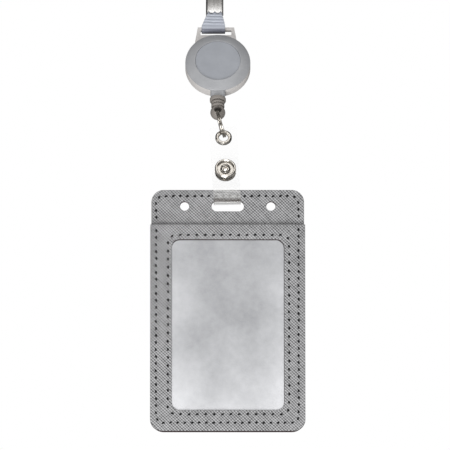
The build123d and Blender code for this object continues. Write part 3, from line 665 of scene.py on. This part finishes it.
# %% The two halves of the case
COVER_ROUND = 0.22 * MM
SHELL_ROUND = 0.2 * MM
NOZZLE_HALF = 3.5 * MM
nozzle_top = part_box("front_cover")[0].z + 0.6 * MM
cover = softened("front_cover", "reel_cover", COVER_ROUND)
dress(cover, cover_grey)
hand_over(cover, "reel", "cover_plastic", "front_cover")


def cut_at_nozzle(piece):
    """Splits the faces at the nozzle's root, so that the nozzle can have a finish of its own."""
    focus(piece)
    bpy.ops.object.mode_set(mode="EDIT")
    bpy.ops.mesh.select_all(action="SELECT")
    bpy.ops.mesh.bisect(plane_co=(0, 0, nozzle_top), plane_no=(0, 0, 1))
    bpy.ops.object.mode_set(mode="OBJECT")


shell = softened("rear_shell", "reel_shell", SHELL_ROUND, reshape=cut_at_nozzle)
dress(shell, shell_grey)
shell.data.materials.append(cover_grey)
for face in shell.data.polygons:
    in_width = abs(face.center.x - reel.x) < NOZZLE_HALF
    face.material_index = int(face.center.z < nozzle_top and in_width)
hand_over(shell, "reel", "shell_plastic", "rear_shell")

# %% [markdown]
# The label, the boot, the ring and the small metal parts have a plain shape that the frame's solids already
# give exactly. They keep that shape, ride on their bodies by themselves, and only get a finish.

# %% Parts that keep their exact shape
EXACT = {"label_disc": label_grey, "cord_end_boot": boot_grey, "spool": spool_white,
         "spool_cap": spool_white, "mainspring": spring_blue, "cord_winding": nylon,
         "cord_run": nylon, "cord_knot": nylon, "split_ring": ring_wire}
EXACT.update(dict.fromkeys(("strap_grommet", "grommet_washer", "snap_cap", "snap_socket", "snap_stud",
                            "snap_stud_post"), nickel))
for node, material in EXACT.items():
    dress(node, material)
print("exact parts:", len(EXACT))

# %% [markdown]
# ## The pull cord
#
# The short end of cord between the nozzle and the boot is what stretches out when the reel is pulled. It
# is a three-strand cord: three thin cylinders, each twisted about the middle, and it follows the case at
# its top and the boot at its foot.

# %% Three straight strands
STRANDS = 3
STRAND_SIDES = 10
LEAD_CUTS = 40
low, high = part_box("cord_lead")
lead_middle = (low + high) / 2
strand_radius = (high.x - low.x) / 4
bpy.ops.mesh.primitive_cylinder_add(vertices=STRAND_SIDES, radius=strand_radius, depth=high.z - low.z,
                                    location=lead_middle + Vector((strand_radius, 0, 0)))
lead = take_new("pull_cord")
settle(lead)
cut_long_edges(lead, 2, (high.z - low.z) / 2, LEAD_CUTS)
strands = [lead]
for number in range(1, STRANDS):
    focus(lead)
    bpy.ops.object.duplicate()
    copy = bpy.context.object
    turn = Matrix.Rotation(2 * pi * number / STRANDS, 4, "Z")
    to_middle = Matrix.Translation(lead_middle)
    copy.data.transform(to_middle @ turn @ to_middle.inverted())
    strands.append(copy)
for strand in strands:
    strand.select_set(True)
bpy.context.view_layer.objects.active = lead
bpy.ops.object.join()
print("strands:", len(strands), "length mm:", round((high.z - low.z) / MM, 2))

# %% [markdown]
# A laid cord makes one full turn in about four times its own thickness. Each point is turned about the
# middle line by an angle that grows with its height.

# %% The twist
LAY = 3.0 * MM
for vertex in lead.data.vertices:
    angle = 2 * pi * (vertex.co.z - low.z) / LAY
    arm = vertex.co - lead_middle
    vertex.co.x = lead_middle.x + arm.x * cos(angle) - arm.y * sin(angle)
    vertex.co.y = lead_middle.y + arm.x * sin(angle) + arm.y * cos(angle)
face_out(lead)
smooth(lead)
dress(lead, nylon)
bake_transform(lead, "reel", "cord", start=(lead_middle.x, lead_middle.y, high.z),
         end=(lead_middle.x, lead_middle.y, low.z))
hand_over(lead, "cord", "nylon_cord", "cord_lead")

# %% [markdown]
# ## The lanyard's end
#
# The crimp is bent sheet, so it gets the same rounding. The webbing is a flat ribbon: one edge is
# extruded step by step along its way, down in front of the bar, round it and up behind, and each step is
# made narrower towards the crimp. Small waves across it are the gathers of the cloth.

# %% The crimp
CRIMP_ROUND = 0.12 * MM
crimp = softened("lanyard_crimp", "crimp", CRIMP_ROUND)
dress(crimp, crimp_steel)
hand_over(crimp, "lanyard", "crimp_steel", "lanyard_crimp")

# %% The way of the webbing, seen from the side
WEB_T = 0.62 * MM
NECK_Y = 0.45 * MM
IN_CRIMP = 3 * MM
BULGE = 0.8
ARC_STEPS = 12
LEG_STEPS = 30
loop_low, loop_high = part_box("lanyard_loop")
crimp_low, crimp_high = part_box("lanyard_crimp")
web_turn = (loop_high.y - loop_low.y) / 2 - WEB_T / 2
neck_z = crimp_low.z - bar.z
lean = asin(web_turn / neck_z)
leg = []
for step in range(LEG_STEPS):
    z = neck_z + IN_CRIMP - step / LEG_STEPS * (neck_z + IN_CRIMP - web_turn * sin(lean))
    down = min(1, max(0, (neck_z - z) / neck_z))
    leg.append((NECK_Y + (web_turn * cos(lean) - NECK_Y) * down ** BULGE, z))
angles = [lean - (pi / 2 + lean) * n / ARC_STEPS for n in range(ARC_STEPS)]
leg += [(web_turn * cos(angle), web_turn * sin(angle)) for angle in angles]
web_way = [(-y, z) for y, z in leg] + [(0, -web_turn)] + [(y, z) for y, z in reversed(leg)]
print("webbing steps:", len(web_way))

# %% Extruding the ribbon
WEB_COLUMNS = 16
web_width = loop_high.x - loop_low.x
web = extrude_strip("satin_loop", web_way, web_width, WEB_COLUMNS)
print("ribbon points:", len(web.data.vertices))

# %% [markdown]
# The ribbon now gets its shape: narrow in the crimp, wide at the bar, off to the left by a millimetre,
# with folds that run across it and die out at the bar, where the load pulls it flat.

# %% Gathers of the webbing
FLAT_BELOW = 0.9 * MM
WIDE_FOLD, FINE_FOLD, EDGE_FOLD = 1.7 * MM, 0.95 * MM, 1.5 * MM
web_shift = (loop_high.x + loop_low.x) / 2
neck_width = crimp_high.x - crimp_low.x - 1.2 * MM
for vertex in web.data.vertices:
    co = vertex.co
    up = min(1, max(0, (co.z - FLAT_BELOW) / (neck_z - FLAT_BELOW)))
    u = co.x / web_width
    side = -1 if co.y < 0 else 1
    wave = 0.36 * sin(2 * pi * co.z / WIDE_FOLD + 1.6 * u + side)
    wave += 0.12 * sin(2 * pi * co.z / FINE_FOLD - 3.1 * u)
    cup = 0.15 * sin(3 * pi * u + 0.7 * side)
    depth = max(0, min(1, 5 * up)) * max(0, min(1, 4 * (1.03 - up)))
    frill = 0.12 * MM * sin(2 * pi * co.z / EDGE_FOLD) * depth * (1 if u > 0 else -1)
    co.x = web_shift * (1 - up) + u * (web_width + (neck_width - web_width) * up ** 1.1) + frill
    co.y += (wave + cup * up) * MM * depth * side + bar.y
    co.z += bar.z
modify(web, "SOLIDIFY", thickness=WEB_T, offset=0)
modify(web, "SUBSURF", levels=1, render_levels=1)
face_out(web)
smooth(web, 60)
dress(web, satin)
hand_over(web, "lanyard", "satin_webbing", "lanyard_loop")

# %% [markdown]
# ## The clear strap
#
# The strap is one strip of soft vinyl, folded through the slot of the holder. It is made as the webbing
# is: an edge is extruded down the rear leaf, round the fold and up the front flap. The flap follows the
# snap's joint and the rear leaf doesn't, so the strip bends at its fold when the snap is opened.

# %% The way of the strip, from the grommet's end to the flap's end
STRAP_T = 0.5 * MM
STRAP_W = 12.6 * MM
LEAF_GAP = 1.7 * MM
LOOP_GAP = 0.1 * MM
HEAD_RISE = 5.45 * MM
ARC_TOP = 0.6 * MM
grommet = sum(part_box("strap_grommet"), Vector()) / 2
snap = sum(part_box("snap_stud_post"), Vector()) / 2
fold_r = fold.y - fold_front.y
loop_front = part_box("strap_front_leaf")[0].y + STRAP_T / 2 - LOOP_GAP
loop_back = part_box("strap_rear_leaf")[1].y - STRAP_T / 2 + LOOP_GAP
fold_z = -(fold - grommet).length
snap_z = -(snap - grommet).length
rear_top, flap_top, bend_z = 5.5 * MM, snap_z + 6.3 * MM, snap_z - 5.6 * MM


def rounded(points, per_turn=6):
    """Points of a side view with each inner corner cut by a smooth curve."""
    way = [points[0]]
    for before, corner, after in zip(points, points[1:], points[2:]):
        start = before.lerp(corner, 0.5) if before is not points[0] else corner.lerp(before, 0.3)
        stop = corner.lerp(after, 0.5) if after is not points[-1] else corner.lerp(after, 0.3)
        for n in range(per_turn + 1):
            t = n / per_turn
            way.append(start.lerp(corner, t).lerp(corner.lerp(stop, t), t))
    return way + [points[-1]]


rear_way = rounded([Vector((reel.y, rear_top)), Vector((reel.y, bend_z)),
                    Vector((loop_back, fold_z + HEAD_RISE)),
                    Vector((fold.y + fold_r, fold_z + ARC_TOP))])[:-1]
arc_way = [Vector((fold.y + fold_r * cos(angle), fold_z - fold_r * sin(angle)))
           for angle in [pi * n / 14 for n in range(15)]]
flap_way = rounded([Vector((fold.y - fold_r, fold_z + ARC_TOP)),
                    Vector((loop_front, fold_z + HEAD_RISE)),
                    Vector((reel.y - LEAF_GAP, bend_z)), Vector((reel.y - LEAF_GAP, flap_top))])[1:]
strip_way = rear_way + arc_way + flap_way
print("strip length mm:", round(way_length(strip_way) / MM, 1))

# %% Extruding the strip
STRAP_COLUMNS = 12
strip = extrude_strip("clear_strap", strip_way, STRAP_W, STRAP_COLUMNS)
modify(strip, "SOLIDIFY", thickness=STRAP_T, offset=0)
strip.rotation_euler = (0, -strap_lean, 0)
strip.location = (grommet.x, 0, grommet.z)
settle(strip)
face_out(strip)
print("strip faces:", len(strip.data.polygons))

# %% [markdown]
# The grommet's hole goes right through the strip, so a cylinder is cut out of it. Then the cut edges are
# rounded a little: it is the bright edge of clear sheet that shows where it is.

# %% The hole for the grommet
HOLE_R = 2.4 * MM
bpy.ops.mesh.primitive_cylinder_add(vertices=40, radius=HOLE_R, depth=6 * MM, location=grommet,
                                    rotation=(pi / 2, 0, 0))
punch = take_new("punch")
modify(strip, "BOOLEAN", operation="DIFFERENCE", object=punch, solver="EXACT")
bpy.data.objects.remove(punch)
modify(strip, "BEVEL", width=0.1 * MM, segments=2, limit_method="ANGLE", angle_limit=radians(50))
smooth(strip)
dress(strip, clear_vinyl)
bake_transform(strip, "strap", "strap_flap", start=(fold.x, fold.y + 0.5 * fold_r, fold.z),
         end=(fold.x, fold.y - 0.5 * fold_r, fold.z))
hand_over(strip, "strap", "clear_vinyl", "strap_rear_leaf", "strap_front_leaf")

# %% [markdown]
# ## The holder
#
# Four sheets make the holder: the back, the maroon board, the base with the slot and holes, and the front
# panel with the window. The leather sheets are softly rounded at their edges; the board hardly is. The
# window's top and right walls slope a little, so that they can be seen from the front.

# %% The sloped walls of the window
FILM_LAP = 3.5 * MM
TOP_SLOPE = 0.8 * MM
RIGHT_SLOPE = 0.25 * MM
RIM = 0.1 * MM
FADE = 3 * MM
window_half_w = (window_high.x - window_low.x) / 2 - FILM_LAP
window_half_h = (window_high.z - window_low.z) / cos(holder_tilt) / 2 - FILM_LAP


def slope_window(piece):
    """Moves the front rim of the opening up at its top and out at its right, so that those walls slope."""
    levels = [(v.co - window_middle).dot(holder_out) for v in piece.data.vertices]
    front = max(levels) - RIM / 2
    for vertex, level in zip(piece.data.vertices, levels):
        arm = vertex.co - window_middle
        x, y = arm.x, arm.dot(holder_up)
        if level < front or abs(x) > window_half_w + RIM or abs(y) > window_half_h + RIM:
            continue
        if y > 0:
            vertex.co += holder_up * TOP_SLOPE * max(0, 1 - (window_half_h - y) / FADE)
        if x > 0:
            vertex.co.x += RIGHT_SLOPE * max(0, 1 - (window_half_w - x) / FADE)


print("opening mm:", round(2 * window_half_w / MM, 1), round(2 * window_half_h / MM, 1))

# %% The leather sheets and the board
SHEETS = (("holder_back_panel", "back_leather", 0.22, leather, "grey_leather", None),
          ("holder_stiffener", "board_core", 0.05, core_board, "core_board", None),
          ("holder_base_panel", "base_leather", 0.22, leather, "grey_leather", None),
          ("holder_front_panel", "front_leather", 0.22, leather, "grey_leather", slope_window))
for node, name, rounding, material, slot_name, reshape in SHEETS:
    sheet = softened(node, name, rounding * MM, corner=60, reshape=reshape)
    dress(sheet, material)
    hand_over(sheet, "holder", slot_name, node)

# %% [markdown]
# ## The seams
#
# A stitch is a short length of waxed thread that comes up through the leather and dives in again. One is
# modelled as a thin bead, thick in the middle and sunk at both ends, and it is copied along both seams
# at the places and in the directions that the frame gives.


# %% Reading the stitches' places
SEAM_PIECE = 1.15 * MM
NEARLY = 0.03 * MM


def stitch_places(node):
    """Middle and direction of each separate thread of a seam node."""
    mesh = bmesh.new()
    mesh.from_mesh(nodes[node].data)
    bmesh.ops.remove_doubles(mesh, verts=mesh.verts, dist=DOUBLES)
    mesh.verts.ensure_lookup_table()
    seen = set()
    places = []
    for vertex in mesh.verts:
        if vertex.index in seen:
            continue
        island = [vertex]
        seen.add(vertex.index)
        for member in island:
            for edge in member.link_edges:
                other = edge.other_vert(member)
                if other.index not in seen:
                    seen.add(other.index)
                    island.append(other)
        middle = sum((v.co for v in island), Vector()) / len(island)
        sides = sorted((v.co - island[0].co for v in island[1:]), key=lambda side: side.length)
        along = next(side for side in sides if abs(side.length - SEAM_PIECE) < NEARLY)
        places.append((middle, along.normalized()))
    mesh.free()
    return places


# %% One stitch
THREAD_R = 0.47 * MM
STITCH_L = 1.35 * MM
DIVE = 0.28 * MM
bpy.ops.mesh.primitive_cylinder_add(vertices=8, radius=THREAD_R, depth=STITCH_L,
                                    end_fill_type="NGON", rotation=(0, pi / 2, 0))
stitch = take_new("stitch")
settle(stitch)
cut_long_edges(stitch, 0, STITCH_L / 2, 4)
for vertex in stitch.data.vertices:
    away = (abs(vertex.co.x) / (STITCH_L / 2)) ** 2
    vertex.co.y *= 1 - 0.3 * away
    vertex.co.z = vertex.co.z * (1 - 0.4 * away) * 0.8 - DIVE * away
print("stitch faces:", len(stitch.data.polygons))

# %% [markdown]
# The stitches of a seam become one piece. All slant a little across the seam, and each copy gets a small
# turn and shift of its own, worked out from its number, because no seam is perfectly even.


# %% Both seams
SLANT = 0.35
SHIFT = 0.08 * MM


def sew(node, name):
    """One piece from copies of the stitch, at the places of a seam node."""
    mesh = bmesh.new()
    for number, (middle, along) in enumerate(stitch_places(node)):
        side = holder_out.cross(along)
        slant = SLANT + 0.12 * sin(number * 2.4) + 0.06 * sin(number * 5.1)
        along = (along + side * slant).normalized()
        side = holder_out.cross(along)
        turn = Matrix((along, side, holder_out)).transposed().to_4x4()
        place = Matrix.Translation(middle + side * SHIFT * sin(number * 1.7)) @ turn
        before = len(mesh.verts)
        mesh.from_mesh(stitch.data)
        mesh.verts.ensure_lookup_table()
        bmesh.ops.transform(mesh, matrix=place, verts=mesh.verts[before:])
    data = bpy.data.meshes.new(name)
    mesh.to_mesh(data)
    mesh.free()
    seam = bpy.data.objects.new(name, data)
    bpy.context.collection.objects.link(seam)
    smooth(seam, 60)
    dress(seam, black_thread)
    hand_over(seam, "holder", "black_thread", node)


sew("outer_stitching", "outer_seam")
sew("inner_stitching", "window_seam")
bpy.data.objects.remove(stitch)

# %% [markdown]
# ## The window
#
# The film behind the window is thin and never flat. It is a grid in the plane of the holder whose points
# are moved by a few long, low waves that die out at the rim, where the seam holds it. It gets its thickness
# afterwards. The liner behind it keeps its exact shape.

# %% The film
FILM_T = 0.15 * MM
PLAY = 0.2 * MM
SWELL = 0.14 * MM
HELD_RIM = 8
film_w = window_high.x - window_low.x
film_h = (window_high.z - window_low.z) / cos(holder_tilt) - PLAY
bpy.ops.mesh.primitive_grid_add(x_subdivisions=48, y_subdivisions=72, size=1, location=(0, 0, 0))
film = take_new("window_sheet")
film.scale = (film_w - PLAY, film_h - PLAY, 1)
settle(film)
for vertex in film.data.vertices:
    x, y = vertex.co.x / MM, vertex.co.y / MM
    free = min(1, (film_w / 2 / MM - abs(x)) / HELD_RIM) * min(1, (film_h / 2 / MM - abs(y)) / HELD_RIM)
    wave = sin(x / 9.0 + 1.3) * sin(y / 14.0) + 0.5 * sin(x / 5.0 - y / 8.0)
    vertex.co.z = wave * SWELL * max(0, free)
modify(film, "SOLIDIFY", thickness=FILM_T, offset=0)
film.rotation_euler = (pi / 2 + holder_tilt, 0, 0)
film.location = window_middle
settle(film)
smooth(film)
dress(film, frosted)
hand_over(film, "holder", "window_vinyl", "window_film")
dress("pocket_liner", liner)

# %% [markdown]
# ## The studio
#
# The camera looks up at the hanging object from far away through a long lens, so that nothing is drawn
# smaller for being further off.

# %% The camera
DISTANCE = 5.0
VIEW_WIDTH = 0.2086
LOOK_UP = radians(30)
SENSOR = 36
aim = Vector((4.84 * MM, reel.y, -123.3 * MM))
bpy.ops.object.camera_add(location=aim - DISTANCE * Vector((0, cos(LOOK_UP), sin(LOOK_UP))),
                          rotation=(pi / 2 + LOOK_UP, 0, 0))
camera = take_new("camera")
camera.data.sensor_width = SENSOR
camera.data.lens = SENSOR * DISTANCE / VIEW_WIDTH
camera.data.clip_start = 0.01
bpy.context.scene.camera = camera
print("lens mm:", round(camera.data.lens))

# %% [markdown]
# The room is a world that answers each kind of ray in its own way. The camera sees plain white. Matt
# surfaces get a soft light that is brighter from the front. Metal mirrors a dim room with six bright
# panels, because it looks like metal only when it has light and dark to mirror.


# %% The room
SOFT_BASE, SOFT_FRONT = 0.3, 0.45
ROOM_LEVEL = 0.05
WARM = (1.0, 0.975, 0.94, 1)
WHITE = (1, 1, 1, 1)
# the bright panels that metal mirrors: direction, inner and outer cosine, strength
MIRRORED = (((0, -0.87, 0.5), 0.985, 0.92, 0.62), ((0.1, -0.93, -0.35), 0.97, 0.86, 0.5),
            ((-0.75, -0.6, -0.3), 0.97, 0.86, 1.1), ((0.2, -0.25, -1), 0.88, 0.7, 1.1),
            ((0.8, 0.3, 0.3), 0.96, 0.85, 0.7), ((0, 0.9, -0.5), 0.9, 0.3, 0.3))


def glow(tree, way, toward, narrow, wide):
    """One where a direction lies near toward, fading to nought; narrow and wide are cosines."""
    near = add(tree, "ShaderNodeVectorMath", {"operation": "DOT_PRODUCT"}, i0=way,
               i1=Vector(toward).normalized())
    return stretch(tree, near.outputs["Value"], wide, narrow)


def build_room():
    """White to the eye, softly bright to matt surfaces, and banded with light to shiny ones."""
    world = bpy.data.worlds.new("room")
    bpy.context.scene.world = world
    world.use_nodes = True
    tree = world.node_tree
    out = tree.nodes["World Output"]
    way = add(tree, "ShaderNodeTexCoord").outputs["Generated"]
    front = glow(tree, way, (-0.1, -0.8, -0.6), 0.9, -0.7)
    soft_level = math(tree, "MULTIPLY_ADD", front, SOFT_FRONT)
    soft_level.node.inputs[2].default_value = SOFT_BASE
    shiny_level = ROOM_LEVEL
    for toward, narrow, wide, level in MIRRORED:
        panel = math(tree, "MULTIPLY", glow(tree, way, toward, narrow, wide), level)
        shiny_level = math(tree, "ADD", panel, shiny_level)
    rays = add(tree, "ShaderNodeLightPath")
    soft = add(tree, "ShaderNodeBackground", Strength=soft_level)
    shiny = add(tree, "ShaderNodeBackground", Color=WARM, Strength=shiny_level)
    white = add(tree, "ShaderNodeBackground", Color=WHITE, Strength=1.0)
    matt_or_shiny = add(tree, "ShaderNodeMixShader", i0=rays.outputs["Is Glossy Ray"],
                        i1=soft.outputs[0], i2=shiny.outputs[0])
    seen = add(tree, "ShaderNodeMixShader", i0=rays.outputs["Is Camera Ray"],
               i1=matt_or_shiny.outputs[0], i2=white.outputs[0])
    tree.links.new(seen.outputs[0], out.inputs["Surface"])


build_room()
bpy.context.scene.view_settings.view_transform = "Standard"
print("mirrored panels:", len(MIRRORED))

# %% [markdown]
# Two wide lamps model the forms: a key from the front and far below, which lights the lower rims, and a
# weaker one straight in front, a little above. The floor lies far below and out of sight.


# %% Lamps and floor
def lamp(name, place, size, power):
    """A square area lamp that points at the middle of the object."""
    bpy.ops.object.light_add(type="AREA", location=place)
    light = take_new(name)
    light.data.size = size
    light.data.energy = power
    light.rotation_euler = (aim - Vector(place)).to_track_quat("-Z", "Y").to_euler()


LAMP_SIZE = 0.6
FLOOR_Z = -3.2
lamp("key", (-0.15, -0.5, -1.05), LAMP_SIZE, 10.5)
lamp("fill", (0.1, -1.1, 0.15), LAMP_SIZE, 3.5)
bpy.ops.mesh.primitive_plane_add(size=30, location=(0, 0, FLOOR_Z))
floor = take_new("floor")
floor_white = bpy.data.materials.new("floor_white")
floor_white.use_nodes = True
floor_white.node_tree.nodes["Principled BSDF"].inputs["Base Color"].default_value = (0.8, 0.8, 0.8, 1)
dress(floor, floor_white)
print("lamps:", len(bpy.data.lights))
